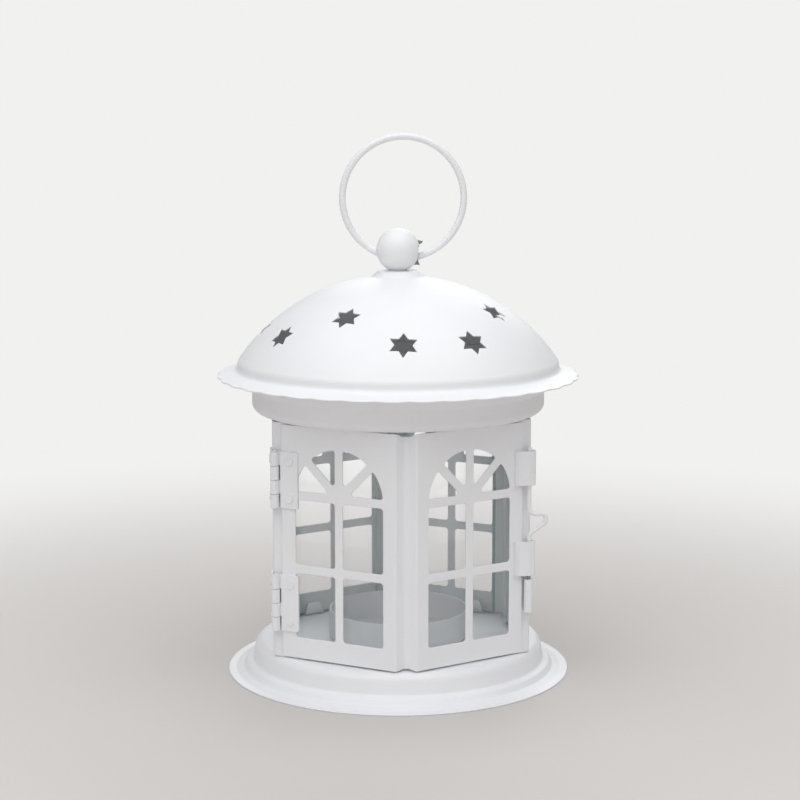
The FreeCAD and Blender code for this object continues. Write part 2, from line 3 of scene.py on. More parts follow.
import bmesh
import bpy
import numpy as np
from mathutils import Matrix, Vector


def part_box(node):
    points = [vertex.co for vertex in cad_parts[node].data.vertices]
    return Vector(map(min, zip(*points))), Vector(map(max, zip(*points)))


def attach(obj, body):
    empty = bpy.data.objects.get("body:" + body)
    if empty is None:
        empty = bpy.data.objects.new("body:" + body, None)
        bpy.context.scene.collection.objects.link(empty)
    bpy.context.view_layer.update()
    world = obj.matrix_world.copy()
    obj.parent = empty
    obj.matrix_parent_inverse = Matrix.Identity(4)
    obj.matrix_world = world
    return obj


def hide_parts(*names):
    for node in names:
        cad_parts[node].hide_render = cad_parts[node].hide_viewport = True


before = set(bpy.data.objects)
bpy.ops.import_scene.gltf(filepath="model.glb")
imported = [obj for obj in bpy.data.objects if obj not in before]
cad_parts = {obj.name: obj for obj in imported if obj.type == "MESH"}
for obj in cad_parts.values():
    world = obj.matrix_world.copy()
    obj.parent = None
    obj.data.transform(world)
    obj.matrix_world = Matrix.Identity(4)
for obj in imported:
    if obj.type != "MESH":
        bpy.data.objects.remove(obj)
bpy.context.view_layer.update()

# Sizes are in millimetres and turns in degrees, where no comment says otherwise
MM = 0.001

# Cage and door
sheet = 0.5
glass = 2.0
paint_edge = 0.2        # radius that the paint gives a cut edge
light_band = 1.4 * paint_edge       # narrow band round a light, which keeps the skin beyond it flat
brace = 0.25            # flat strip kept beside each bend
cage_apothem = 38.0
half_face = 30          # half the turn from one face of the cage to the next
DOOR_FACES = (-30, 30)
SIDE_FACES = (-150, -90)            # of the left half of the cage
groove_lip = 3.4
groove_depth = 4.5
groove_bend = 0.9
groove_round = 1.2
groove_relief = (0.25, 1.0)         # how far the door's fluted fold is cut back at its foot and head
relief_run = 3.5                    # height over which the cut fades out
relief_fade = 0.62 * groove_lip     # width over which each side of the cut fades out
relief_half = 1.6 * relief_fade     # middle of the fold to the end of the cut
jamb_show = 3.0
jamb_lap = 1.6
jamb_bend = 1.6
jamb_gap = 0.3
seam_bend = 0.9
seam_depth = 3.96
window_stile = 7.6
window_sill = 6.8
window_head = 6.7
bar = 2.6
light_corner = 0.9
fan_corner = 0.7
door_gap = 0.45
pane_gap = 0.35
pane_lap = 1.0
clip_inset = 1.8
clip_width = 7.0
clip_height = 4.0
clip_slant = 1.4
tab_width = 8.0
tab_fold = 4.0
z_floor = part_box("cage_sheet_left")[0].z / MM + 2 * sheet       # the tabs reach two sheets lower
z_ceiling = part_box("cage_sheet_left")[1].z / MM - 2 * sheet     # and two sheets higher

half_side = cage_apothem * math.tan(math.radians(half_face))
corner_r = cage_apothem / math.cos(math.radians(half_face))
jamb_recess = sheet + jamb_gap
door_edge = half_side - jamb_show
door_foot = z_floor + door_gap
door_head = z_ceiling - door_gap
window_half = half_side - window_stile
z_sill = z_floor + window_sill
z_spring = z_ceiling - window_head - window_half
light_height = (z_spring - z_sill - 1.5 * bar) / 2
z_middle_bar = z_sill + light_height + bar / 2
clip_outer = window_half - clip_inset
clip_back = sheet + 2 * pane_gap + glass

# Base and cup
base_margin = 5.4
base_round = 2.6
riser_flare = 1.0
riser_height = 3.4
ledge_width = 1.8
ledge_drop = 0.7
step_width = 1.0
step_drop = 1.6
slope_width = 2.4
rim_width = 2.4
press_bend = 0.8
cup_bore_r = 20.2
cup_height = 8.9
cup_round = 1.0
cup_hole_r = 1.65

# Collar and roof
collar_r = cage_apothem + 6.0
collar_round = 2.6
collar_wall = 4.0
vent_r = 27.0
flare_bend = 1.2
skirt_r = collar_r + 4.3
lip_gap = 0.05
lip_r = skirt_r - sheet - lip_gap
z_skirt = z_ceiling + 12.7
skirt_height = 1.9
lip_engage = 1.2
z_dome = z_skirt + 2.6
dome_height = 25.4
dome_foot_r = skirt_r - 0.2
dome_r = (dome_foot_r ** 2 + dome_height ** 2) / (2 * dome_height)
z_dome_centre = z_dome + dome_height - dome_r
eave_r = skirt_r + 6.2
eave_drop = 1.8
scallop_count = 36
scallop_depth = 0.75
scallop_lift = 0.15     # rise of a cusp for its depth
boss_r = 8.0
boss_top_r = 5.8
boss_bend = 2.0
foot_bend = 2.5         # dome into shoulder
shoulder_bend = 1.5
eave_bend = 1.2
profile_lap = 1.6       # how far the turned profiles run on over the dome
z_crown = z_dome + dome_height + 1.3
crown_hole_r = 2.8
star_count = 12
star_every = 3          # each third star stands higher
star_r = 4.45
star_turn = -1.0
star_twist = 3.0
star_rounding = 1.5     # growth of a star's tips for the paint's rounding of its edges
star_low_r = dome_foot_r - 8.1
star_high_r = dome_foot_r - 16.1

# Ball, ring and bolt
ball_r = 6.5
ball_neck_r = 2.7
ball_neck = 0.2
z_ball = z_crown + ball_neck + math.sqrt(ball_r ** 2 - ball_neck_r ** 2)
neck_start = 0.75 * ball_r          # start of the neck below the ball's middle
neck_flange = 1.4
neck_bend = 0.3
pivot_drop = 1.05
entry_hole_r = 2.3
ring_hole_r = 1.45
torn_clear = 0.09       # widening of the torn hole, in radians
TORN_WAVES = ((3, 0.04, 0.6), (7, 0.03, 0.0), (13, 0.02, 2.0))  # waves a turn, size and start, in radians
TORN_LIPS = ((0.35, 1.3), (2.8, 1.2), (4.4, 0.6))   # angle from straight down, in radians, and reach
lip_width = 0.24        # angle, in radians, over which a lip fades out to its sides
lip_lean = 0.5          # how far a lip bends away from the hole for its reach
lip_rise = 0.12         # a lip is bare where it stands off the ball by more
lip_field_r = 2 * entry_hole_r      # the lips lie within this radius of the hole's middle
torn_band = 0.08        # share of the way from hole to hole that the lips take up
bare_edge = 0.2         # bare metal round the torn hole
ring_wire_r = 1.0
ring_r = 18.1
ring_slip = 1.5
z_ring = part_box("hanging_ring")[1].z / MM - ring_r - ring_wire_r
bolt_wire = 1.3
thumb_reach = 4.9       # bolt's axis to the far side of the thumb loop
thumb_level = 8.1       # top of the loop above the lower strap
thumb_drop = 2.6        # upright part of the loop
thumb_rest = 1.9        # foot of the loop above the lower strap
THUMB_BENDS = (1.7, 1.2, 1.2, 2.4)  # radii of the loop's bends, from the top down

# Steps of the meshes
SIDE = 20               # points along one side of a light or of its cell
BEND = 8                # steps of a bend
RIM = 4                 # steps of the rounding of a cut edge
TURN = 360              # steps of a full turn
NECK_TURN = 96
STAR_WIDE = 24          # steps across a star's sector, and down its cell
DOME_DOWN = 72          # steps from the boss to the dome's foot
STAR_RINGS = 10         # rings of skin round a star
RING_CROWD = 1.5        # power that draws those rings in towards the star
BALL_TURN = 144
LIP_ROWS = 8
BALL_ROWS = 64
RING_TURN = 256
WIRE_TURN = 32
NEAR = 1e-6             # two points this close are one
WELD = 0.001            # seams this close are welded
FLAT_WEIGHT = 100       # how strongly the shading of a folded piece follows its large faces


# Surfaces: each is an array of points and an array of four-cornered faces

def unit(v):
    """Vectors brought to length 1."""
    return v / np.linalg.norm(v, axis=-1, keepdims=True)


def grid(points, closed_rows=False, closed_columns=False):
    """A surface from rows x columns x 3 points; a closed direction joins its last line to its first."""
    rows, columns = points.shape[:2]
    index = np.arange(rows * columns).reshape(rows, columns)
    if closed_rows:
        index = np.vstack([index, index[:1]])
    if closed_columns:
        index = np.hstack([index, index[:, :1]])
    faces = np.stack([index[:-1, :-1], index[:-1, 1:], index[1:, 1:], index[1:, :-1]], axis=-1)
    return points.reshape(-1, 3), faces.reshape(-1, 4)


def joined(surfaces):
    """One surface from several."""
    starts = np.cumsum([0] + [len(points) for points, faces in surfaces[:-1]])
    return (np.concatenate([points for points, faces in surfaces]),
            np.concatenate([faces + start for (points, faces), start in zip(surfaces, starts)]))


def swung(start, stop, sweep):
    """Vectors that swing evenly from start to stop, which stand at the angle sweep to each other."""
    t = np.linspace(0, 1, BEND + 1)[:, None]
    return (np.sin((1 - t) * sweep) * start + np.sin(t * sweep) * stop) / np.sin(sweep)


def corner_arc(corner, back, onward, radius):
    """Points of the arc that touches the two directions leaving a corner, from the first to the second."""
    half = np.arccos(np.clip(back @ onward, -1, 1)) / 2
    centre = corner + unit(back + onward) * radius / np.sin(half)
    start = corner + back * radius / np.tan(half) - centre
    stop = corner + onward * radius / np.tan(half) - centre
    return centre + swung(start, stop, np.pi - 2 * half)


def rounded(corners, radii):
    """Path through corner points with each inner corner turned into an arc, and its normals to the left.

    Each straight gets a point close to either end, so that smooth shading stays flat between bends.
    """
    corners = np.asarray(corners, float)
    ways = unit(np.diff(corners, axis=0))
    left = np.stack([-ways[:, 1], ways[:, 0]], axis=1)
    arcs = [corners[:1]]
    turns = [left[:1]]
    for i, radius in enumerate(radii):
        arcs.append(corner_arc(corners[i + 1], -ways[i], ways[i + 1], radius))
        turns.append(swung(left[i], left[i + 1], np.arccos(np.clip(left[i] @ left[i + 1], -1, 1))))
    arcs.append(corners[-1:])
    turns.append(left[-1:])
    points = [arcs[0]]
    normals = [turns[0]]
    for i, way in enumerate(ways):
        start, stop = arcs[i][-1], arcs[i + 1][0]
        step = min(brace, np.linalg.norm(stop - start) / 3) * way
        points += [[start + step, stop - step], arcs[i + 1]]
        normals += [left[[i, i]], turns[i + 1]]
    return np.concatenate(points), np.concatenate(normals)


def sheet_loop(path, thickness):
    """Closed outline of a bent sheet: the path, a half-round end, the path set over, a half-round end."""
    points, normals = path
    other = points - normals * thickness
    half_turn = np.linspace(0, np.pi, BEND + 1)[1:-1, None]

    def end(near, far, way):
        return (near + far) / 2 + (near - far) / 2 * np.cos(half_turn) + way * np.sin(half_turn)

    reach = abs(thickness) / 2
    last = end(points[-1], other[-1], unit(points[-1] - points[-2]) * reach)
    first = end(other[0], points[0], unit(points[0] - points[1]) * reach)
    return np.concatenate([points, last, other[::-1], first])


def around(r, angle, z):
    """Points at radius r and height z, at an angle from the front: x = r sin a, y = -r cos a."""
    return np.stack(np.broadcast_arrays(r * np.sin(angle), -r * np.cos(angle), z), axis=-1)


def full_turn(steps):
    """Angles of a full turn in equal steps, without the last, which is the first again."""
    return np.linspace(0, 2 * np.pi, steps, endpoint=False)


def lathe(loop, steps=TURN):
    """A closed outline of (radius, height) turned about the lantern's axis."""
    points = around(loop[:, :1], full_turn(steps), loop[:, 1:])
    return grid(points, closed_rows=True, closed_columns=True)


def on_face(azimuth, u, out=0.0):
    """Plan point u to the right of a face's middle, seen from outside, and out in front of it."""
    a = math.radians(azimuth)
    reach = cage_apothem + out
    return np.stack([u * math.cos(a) + reach * math.sin(a), u * math.sin(a) - reach * math.cos(a)], axis=-1)


def block(azimuth, low, high, end_cut=0.0):
    """Eight-cornered block on a face: (u, depth, z) from low to high, its far end narrowed by end_cut.

    Its faces are the left and right ends, the front and back, and the foot and head.
    """
    u, depth, z = np.meshgrid(*np.stack([low, high], axis=1), indexing="ij")
    u = u + np.sign((low[0] + high[0]) / 2 - u) * end_cut * (z == high[2])
    points = np.concatenate([on_face(azimuth, u, -depth), z[..., None]], axis=-1)
    faces = np.array([(0, 1, 3, 2), (4, 6, 7, 5), (0, 4, 5, 1), (2, 3, 7, 6), (0, 2, 6, 4), (1, 5, 7, 3)])
    return points.reshape(-1, 3), faces


# Objects

def new_mesh(name, surface, materials):
    """Mesh of a surface given in millimetres."""
    points, faces = surface
    mesh = bpy.data.meshes.new(name)
    mesh.from_pydata((points * MM).tolist(), [], faces.tolist())
    for material in materials:
        mesh.materials.append(material)
    return mesh


def new_object(name, data):
    """Object at the origin with this mesh, lamp or camera."""
    thing = bpy.data.objects.new(name, data)
    bpy.context.scene.collection.objects.link(thing)
    return thing


def add_piece(name, body, surface, materials, node, finish=0, shade="smooth"):
    """Make a mesh object of a surface, weld its seams, and let it ride in place of its CAD node.

    Finish gives each face the number of its material, or all faces one. A folded piece is shaded
    smoothly but by its flats, and a flat one face by face.
    """
    mesh = new_mesh(name, surface, materials)
    finishes = np.broadcast_to(finish, len(mesh.polygons))
    mesh.polygons.foreach_set("material_index", finishes.astype(np.int32))
    solid = bmesh.new()
    solid.from_mesh(mesh)
    bmesh.ops.remove_doubles(solid, verts=solid.verts, dist=WELD * MM)
    bmesh.ops.recalc_face_normals(solid, faces=solid.faces)
    solid.to_mesh(mesh)
    solid.free()
    if shade != "flat":
        mesh.shade_smooth()
    piece = new_object(name, mesh)
    if shade == "folded":
        piece.modifiers.new("flat_shading", "WEIGHTED_NORMAL").weight = FLAT_WEIGHT
    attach(piece, body)
    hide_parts(node)


# Folded sheets with windows

def rim():
    """Offset and depth along a paint-rounded cut edge, from the front skin to the back skin."""
    t = np.linspace(0, np.pi / 2, RIM + 1)
    out = paint_edge * np.sin(t)
    deep = paint_edge * (1 - np.cos(t))
    return np.concatenate([out, out[::-1]]), np.concatenate([deep, sheet - deep[::-1]])


def light_loop(corners, radius, counts, hub=None, arch=None):
    """Rounded outline of a light from the middle of its first corner.

    Each side has its count of points, half a bend at either end among them. Side number arch runs round
    the hub.
    """
    corners = np.asarray(corners, float)
    nexts = np.roll(corners, -1, axis=0)
    ways = unit(nexts - corners)
    starts = ways.copy()
    stops = ways.copy()
    if arch is not None:
        for ends, at in ((starts, corners[arch]), (stops, nexts[arch])):
            tangent = unit(np.array([hub[1] - at[1], at[0] - hub[0]]))
            ends[arch] = tangent * np.sign(tangent @ ways[arch])
    half = BEND // 2
    arcs = [corner_arc(corner, -came, goes, radius)
            for corner, came, goes in zip(corners, np.roll(stops, 1, axis=0), starts)]
    sides = []
    for i, count in enumerate(counts):
        after = arcs[(i + 1) % len(arcs)]
        t = np.linspace(0, 1, count - BEND, endpoint=False)[:, None]
        side = arcs[i][-1] * (1 - t) + after[0] * t
        if i == arch:
            ends = np.stack([arcs[i][-1], after[0]]) - hub
            r = np.linalg.norm(ends, axis=1)
            a = np.arctan2(ends[:, 1], ends[:, 0])
            r = r[0] * (1 - t) + r[1] * t
            a = a[0] * (1 - t) + a[1] * t
            side = hub + np.hstack([r * np.cos(a), r * np.sin(a)])
        sides += [arcs[i][half:-1], side, after[:half]]
    return np.concatenate(sides)


def cell_loop(corners, counts):
    """Straight-sided outline with counts points on each side."""
    corners = np.asarray(corners, float)
    sides = []
    for a, b, count in zip(corners, np.roll(corners, -1, axis=0), counts):
        t = np.linspace(0, 1, count, endpoint=False)[:, None]
        sides.append(a * (1 - t) + b * t)
    return np.concatenate(sides)


def square_light(side, row, grow):
    """Outline of a four-sided light, left or right by its side's sign, in row 0 or 1, grown all round."""
    low = z_sill + row * (light_height + bar) - grow
    high = low + light_height + 2 * grow
    near = side * (bar / 2 - grow)
    far = side * (window_half + grow)
    corners = [(near, low), (far, low), (far, high), (near, high)]
    return light_loop(corners, light_corner + grow, [SIDE] * 4)


def fan_light(side, first, last, grow, counts):
    """Outline of a light of the arch between bars that rise at first and last degrees, grown all round."""
    low, high = math.radians(first), math.radians(last)
    half_bar = bar / 2 - grow
    reach = window_half + grow
    inset = math.asin(half_bar / reach)
    tip = half_bar / math.sin((high - low) / 2)
    spots = [(tip, (low + high) / 2), (reach, low + inset), (reach, high - inset)]
    corners = [(side * r * math.cos(a), z_spring + r * math.sin(a)) for r, a in spots]
    return light_loop(corners, fan_corner + grow, counts, hub=np.array([0, z_spring]), arch=1)


def window_cells(edges, foot, head):
    """Each light of a face with the cell of sheet around it; edges are the flat's two ends."""
    cells = []
    for side in (-1, 1):
        edge = side * edges[side]
        z_split = z_spring + abs(edge)
        for row, (low, high) in enumerate(((foot, z_middle_bar), (z_middle_bar, z_spring))):
            cells.append((lambda grow, s=side, r=row: square_light(s, r, grow),
                          cell_loop([(0, low), (edge, low), (edge, high), (0, high)], [SIDE] * 4)))
        cells.append((lambda grow, s=side: fan_light(s, 0, 45, grow, [SIDE] * 3),
                      cell_loop([(0, z_spring), (edge, z_spring), (edge, z_split)], [SIDE] * 3)))
        cells.append((lambda grow, s=side: fan_light(s, 45, 90, grow, [SIDE, 2 * SIDE, SIDE]),
                      cell_loop([(0, z_spring), (edge, z_split), (edge, head), (0, head)], [SIDE] * 4)))
    return cells


def folded_sheet(corners, radii, azimuths, z_low, z_high, relief=(0.0, 0.0)):
    """Bent strip with a window in each face, its fold nearest to the axis cut back at foot and head.

    The strip is a flat blank (w along its path, z up) carried through the bends: a point of the blank lies at
    the path's point at w, set in by its depth along the path's normal. Around each light a ring of skin runs
    from the light's rounded rim to its cell, and plain stretches are grids along the bends. A rounded border
    closes the strip all round.
    """
    path, inward = rounded(corners, radii)
    w_path = np.concatenate([[0], np.cumsum(np.linalg.norm(np.diff(path, axis=0), axis=1))])
    length = w_path[-1]
    foot, head = z_low + paint_edge, z_high - paint_edge
    flute_w = w_path[np.argmin(np.linalg.norm(path, axis=1))]

    def fold(w, z, depth):
        """Point of the blank carried through the bends; past the path's ends it runs straight on."""
        cut = np.clip((relief_half - abs(w - flute_w)) / relief_fade, 0, 1)
        z = z - relief[1] * cut * np.clip((z - z_high) / relief_run + 1, 0, None) ** 2
        z = z + relief[0] * cut * np.clip((z_low - z) / relief_run + 1, 0, None) ** 2
        inside = np.clip(w, 0, length)
        x, y, nx, ny = (np.interp(inside, w_path, line) for line in (*path.T, *inward.T))
        over = w - inside
        return np.stack([x + nx * depth + ny * over, y + ny * depth - nx * over, z], axis=-1)

    def z_rows(edge):
        """Heights of the points that a stretch shares with the cells beside it."""
        marks = [foot, z_middle_bar, z_spring, z_spring + edge, head]
        rows = [np.linspace(a, b, SIDE, endpoint=False) for a, b in zip(marks[:-1], marks[1:])]
        return np.concatenate(rows + [[head]])

    out, deep = rim()
    surfaces = []
    spans = []
    for azimuth in azimuths:
        middle = on_face(azimuth, 0)
        along = on_face(azimuth, 1) - middle
        u = (path - middle) @ along
        off = (path - middle) @ np.array([-along[1], along[0]])
        flat = (np.abs(off) < NEAR) & (np.abs(u) < half_side)
        w_middle = w_path[flat][0] - u[flat][0]
        edges = {-1: -max(u[flat].min(), paint_edge - w_middle),
                 1: min(u[flat].max(), length - paint_edge - w_middle)}
        spans.append((w_middle, edges))
        for light, cell in window_cells(edges, foot, head):
            rows = [(cell, 0.0), (light(light_band), 0.0)]
            rows += [(light(paint_edge - o), d) for o, d in zip(out, deep)]
            rows += [(light(light_band), sheet), (cell, sheet)]
            points = np.stack([fold(w_middle + loop[:, 0], loop[:, 1], depth) for loop, depth in rows])
            surfaces.append(grid(points, closed_columns=True))

    ends = [paint_edge] + [w for middle, edges in spans for w in (middle - edges[-1], middle + edges[1])]
    ends.append(length - paint_edge)
    edge_lengths = [spans[0][1][-1]] + [edges[1] for middle, edges in spans]
    border_w = []
    for i, edge in enumerate(edge_lengths):
        low, high = ends[2 * i], ends[2 * i + 1]
        if high - low > NEAR:
            between = w_path[(w_path > low + NEAR) & (w_path < high - NEAR)]
            w = np.concatenate([[low], between, [high]])
            z, ww = np.meshgrid(z_rows(edge), w, indexing="ij")
            surfaces += [grid(fold(ww, z, depth)) for depth in (0.0, sheet)]
            border_w.append(w[:-1])
        if i < len(spans):
            middle, edges = spans[i]
            border_w.append(middle + np.linspace(-edges[-1], 0, SIDE, endpoint=False))
            border_w.append(middle + np.linspace(0, edges[1], SIDE, endpoint=False))
    border_w = np.concatenate(border_w + [[length - paint_edge]])
    low_z, high_z = z_rows(edge_lengths[0]), z_rows(edge_lengths[-1])
    w = np.concatenate([border_w, np.full(len(high_z) - 2, border_w[-1]), border_w[::-1],
                        np.full(len(low_z) - 2, border_w[0])])
    z = np.concatenate([np.full(len(border_w), foot), high_z[1:-1], np.full(len(border_w), head),
                        low_z[-2:0:-1]])
    dw = np.where(np.isclose(w, border_w[0]), -1, np.where(np.isclose(w, border_w[-1]), 1, 0))
    dz = np.where(np.isclose(z, foot), -1, np.where(np.isclose(z, head), 1, 0))
    border = np.stack([fold(w + dw * o, z + dz * o, d) for o, d in zip(out, deep)])
    surfaces.append(grid(border, closed_columns=True))
    return surfaces


def flute(azimuth):
    """Corners and bends of a fluted corner."""
    lip = half_side - groove_lip
    a = math.radians(azimuth)
    bottom = (corner_r - groove_depth) * np.array([math.sin(a), -math.cos(a)])
    corners = [on_face(azimuth - half_face, lip), bottom, on_face(azimuth + half_face, -lip)]
    return corners, [groove_bend, groove_round, groove_bend]


def clips(azimuth, z_low, z_high):
    """Folds at the foot and head of a face that hold its pane, with slanted free ends."""
    back = clip_back + sheet
    parts = []
    for low, high in ((-clip_outer, clip_width - clip_outer), (clip_outer - clip_width, clip_outer)):
        for edge, inward in ((z_low, 1), (z_high, -1)):
            fold = sorted((edge, edge + inward * sheet))
            tip = edge + inward * clip_height
            parts.append(block(azimuth, (low, sheet / 2, fold[0]), (high, back, fold[1])))
            parts.append(block(azimuth, (low, clip_back, edge), (high, back, tip), clip_slant))
    return parts


def fixing_tabs(azimuth):
    """Tabs of a fixed face, through base and collar and folded over."""
    half = tab_width / 2
    foot = z_floor - sheet
    head = z_ceiling + sheet
    spans = ((0, sheet, foot - sheet, z_floor + sheet), (0, sheet, z_ceiling - sheet, head + sheet),
             (0, tab_fold, foot - sheet, foot), (0, tab_fold, head, head + sheet))
    return [block(azimuth, (-half, near, low), (half, far, high)) for near, far, low, high in spans]


def door_surface():
    """Two-faced door: left face, fluted fold and right face."""
    corners, radii = flute(0)
    left, right = DOOR_FACES
    corners = [on_face(left, -door_edge)] + corners + [on_face(right, door_edge)]
    parts = folded_sheet(corners, radii, DOOR_FACES, door_foot, door_head, groove_relief)
    for azimuth in DOOR_FACES:
        parts += clips(azimuth, door_foot, door_head)
    return joined(parts)


def cage_surface(mirror):
    """Fixed half of the cage: seam flange, rear face, fluted corner, side face and jamb."""
    rear, side = SIDE_FACES
    corners, radii = flute((rear + side) / 2)
    jamb_corner = on_face(side, half_side - jamb_recess / math.cos(math.radians(half_face)))
    corners = ([np.array([0, corner_r - seam_depth]), np.array([0, corner_r])] + corners
               + [jamb_corner, on_face(DOOR_FACES[0], -door_edge + jamb_lap, -jamb_recess)])
    radii = [seam_bend] + radii + [jamb_bend]
    parts = folded_sheet(corners, radii, SIDE_FACES, z_floor, z_ceiling)
    for azimuth in SIDE_FACES:
        parts += clips(azimuth, z_floor, z_ceiling) + fixing_tabs(azimuth)
    points, faces = joined(parts)
    return points * np.array([mirror, 1, 1]), faces


def pane_surface(azimuth, z_low, z_high):
    """Flat pane behind a face."""
    half = window_half + pane_lap
    front = sheet + pane_gap
    return block(azimuth, (-half, front, z_low + sheet), (half, front + glass, z_high - sheet))


# Turned pieces

def base_surface():
    """Round pressing: plateau, riser, ledge, step, slope and flat rim."""
    r = cage_apothem + base_margin
    corners = [(cup_hole_r, z_floor), (r, z_floor)]
    steps = ((riser_flare, base_round + riser_height), (ledge_width, ledge_drop), (step_width, step_drop))
    for width, drop in steps:
        r += width
        corners.append((r, corners[-1][1] - drop))
    r += slope_width
    corners += [(r, sheet), (r + rim_width - sheet / 2, sheet)]
    return lathe(sheet_loop(rounded(corners, [base_round] + [press_bend] * 4), sheet))


def cup_surface():
    """Shallow cup with a hole for its rivet."""
    outer = cup_bore_r + sheet
    corners = [(cup_hole_r, z_floor), (outer, z_floor), (outer, z_floor + cup_height - sheet / 2)]
    return lathe(sheet_loop(rounded(corners, [cup_round]), -sheet))


def collar_surface():
    """Pan with a round vent, a straight wall, a flare at 45 degrees and a lip inside the roof's skirt."""
    z_flare = z_ceiling + collar_round + collar_wall
    z_lip = z_flare + lip_r - collar_r
    corners = [(vent_r, z_ceiling), (collar_r, z_ceiling), (collar_r, z_flare), (lip_r, z_lip),
               (lip_r, z_skirt + lip_engage)]
    return lathe(sheet_loop(rounded(corners, [collar_round, flare_bend, flare_bend]), -sheet))


def on_dome(theta, phi, depth):
    """Point of the dome: azimuth theta from the front, phi down from the top, depth under its outer skin."""
    r = dome_r - depth
    return around(r * np.sin(phi), theta, z_dome_centre + r * np.cos(phi))


def dome_spot(r):
    """Radius and height of the dome's outer skin at radius r."""
    return r, z_dome_centre + math.sqrt(dome_r ** 2 - r ** 2)


def star_loop(theta, phi, scale, per_edge):
    """Azimuth and fall of the points of a six-pointed star laid on the dome about (theta, phi)."""
    k = np.arange(12)
    angle = np.radians(30 * k + star_twist)
    radius = np.where(k % 2, star_r / math.sqrt(3), star_r)
    tips = np.stack([radius * np.sin(angle), radius * np.cos(angle)], axis=1)
    t = np.linspace(0, 1, per_edge, endpoint=False)[None, :, None]
    a, b = scale * (tips[:, None] * (1 - t) + np.roll(tips, -1, axis=0)[:, None] * t).reshape(-1, 2).T
    up = np.sqrt(dome_r ** 2 - a ** 2 - b ** 2)
    out = up * np.sin(phi) - b * np.cos(phi)
    height = up * np.cos(phi) + b * np.sin(phi)
    return theta + np.arctan2(a, out), np.arccos(height / dome_r)


def star_sector(theta, phi, t, s):
    """Sector of the dome with a star at azimuth theta and fall phi.

    Round the star the skin runs in rings from the star's outline to a four-sided cell, straight in azimuth
    and fall, and above and below the cell it is a plain grid. The sector's azimuths, t, are counted from the
    star's, and its falls, s, from the top.
    """
    wide = STAR_WIDE
    half = wide // 2
    first = np.argmin(np.abs(s - phi)) - half
    cell = s[first:first + wide + 1]
    across = np.concatenate([t[half:-1], np.full(wide, t[-1]), t[:0:-1], np.full(wide, t[0]), t[:half]])
    down = np.concatenate([np.full(half, cell[0]), cell[:-1], np.full(wide, cell[-1]), cell[:0:-1],
                           np.full(half, cell[0])])
    out, deep = rim()
    scales = 1 + star_rounding * (paint_edge - out) / star_r
    loops = [star_loop(theta, phi, scale, wide // 3) for scale in scales]
    star_theta, star_phi = loops[0]
    share = np.linspace(1, 0, STAR_RINGS)[:, None] ** RING_CROWD
    rings = star_theta * (1 - share) + (theta + across) * share, star_phi * (1 - share) + down * share
    edge = [on_dome(*loop, d) for loop, d in zip(loops[1:-1], deep[1:-1])]
    rows = np.concatenate([on_dome(*rings, 0.0), edge, on_dome(*rings, sheet)[::-1]])
    surfaces = [grid(rows, closed_columns=True)]
    for plain in (s[:first + 1], s[first + wide:]):
        spots = np.meshgrid(theta + t, plain)
        surfaces += [grid(on_dome(*spots, depth)) for depth in (0.0, sheet)]
    return surfaces


def roof_surface():
    """Dome with stars, crown boss, skirt and scalloped eave.

    The dome is cut into sectors with one star each. The boss and the skirt are turned profiles, open where
    they meet the dome, and shallow round scallops draw the eave's edge in and out with the azimuth.
    """
    phi_top = math.asin((boss_r + profile_lap) / dome_r)
    phi_foot = math.asin((dome_foot_r - profile_lap) / dome_r)
    half = math.pi / star_count
    t = np.linspace(-half, half, STAR_WIDE + 1)
    s = np.linspace(phi_top, phi_foot, DOME_DOWN + 1)
    surfaces = []
    for i in range(star_count):
        theta = math.radians(star_turn + i * 360 / star_count)
        star_at_r = star_high_r if i % star_every == star_every - 1 else star_low_r
        surfaces += star_sector(theta, math.asin(star_at_r / dome_r), t, s)

    angle = math.radians(star_turn) - half + np.arange(star_count * STAR_WIDE) * 2 * half / STAR_WIDE
    step = 2 * math.pi / scallop_count
    wave = np.abs(np.mod(angle / step, 1) - 0.5) * 2
    edge = -scallop_depth * wave ** 2
    corners = [dome_spot(dome_foot_r - profile_lap), dome_spot(dome_foot_r),
               (skirt_r, z_skirt + skirt_height), (skirt_r, z_skirt),
               (eave_r - sheet / 2, z_skirt - eave_drop)]
    points, normals = rounded(corners, [foot_bend, shoulder_bend, eave_bend])
    normals[0] = math.sin(phi_foot), math.cos(phi_foot)
    loop = sheet_loop((points, normals), sheet)
    r, z = np.split(loop[:len(loop) - BEND + 1], 2, axis=1)
    pull = np.clip((r - skirt_r - eave_bend) / (eave_r - skirt_r - eave_bend), 0, None)
    eave = around(r + pull * edge, angle, z - pull * edge * scallop_lift)
    surfaces.append(grid(eave, closed_columns=True))

    corners = [(crown_hole_r, z_crown), (boss_top_r, z_crown), dome_spot(boss_r),
               dome_spot(boss_r + profile_lap)]
    points, normals = rounded(corners, [boss_bend, boss_bend])
    normals[-1] = math.sin(phi_top), math.cos(phi_top)
    loop = sheet_loop((points, normals), sheet)
    loop = np.roll(loop, len(loop) - len(points) - BEND + 1, axis=0)
    r, z = np.split(loop[:len(loop) - BEND + 1], 2, axis=1)
    surfaces.append(grid(around(r, angle, z), closed_columns=True))
    return joined(surfaces)


# Ball, ring and bolt

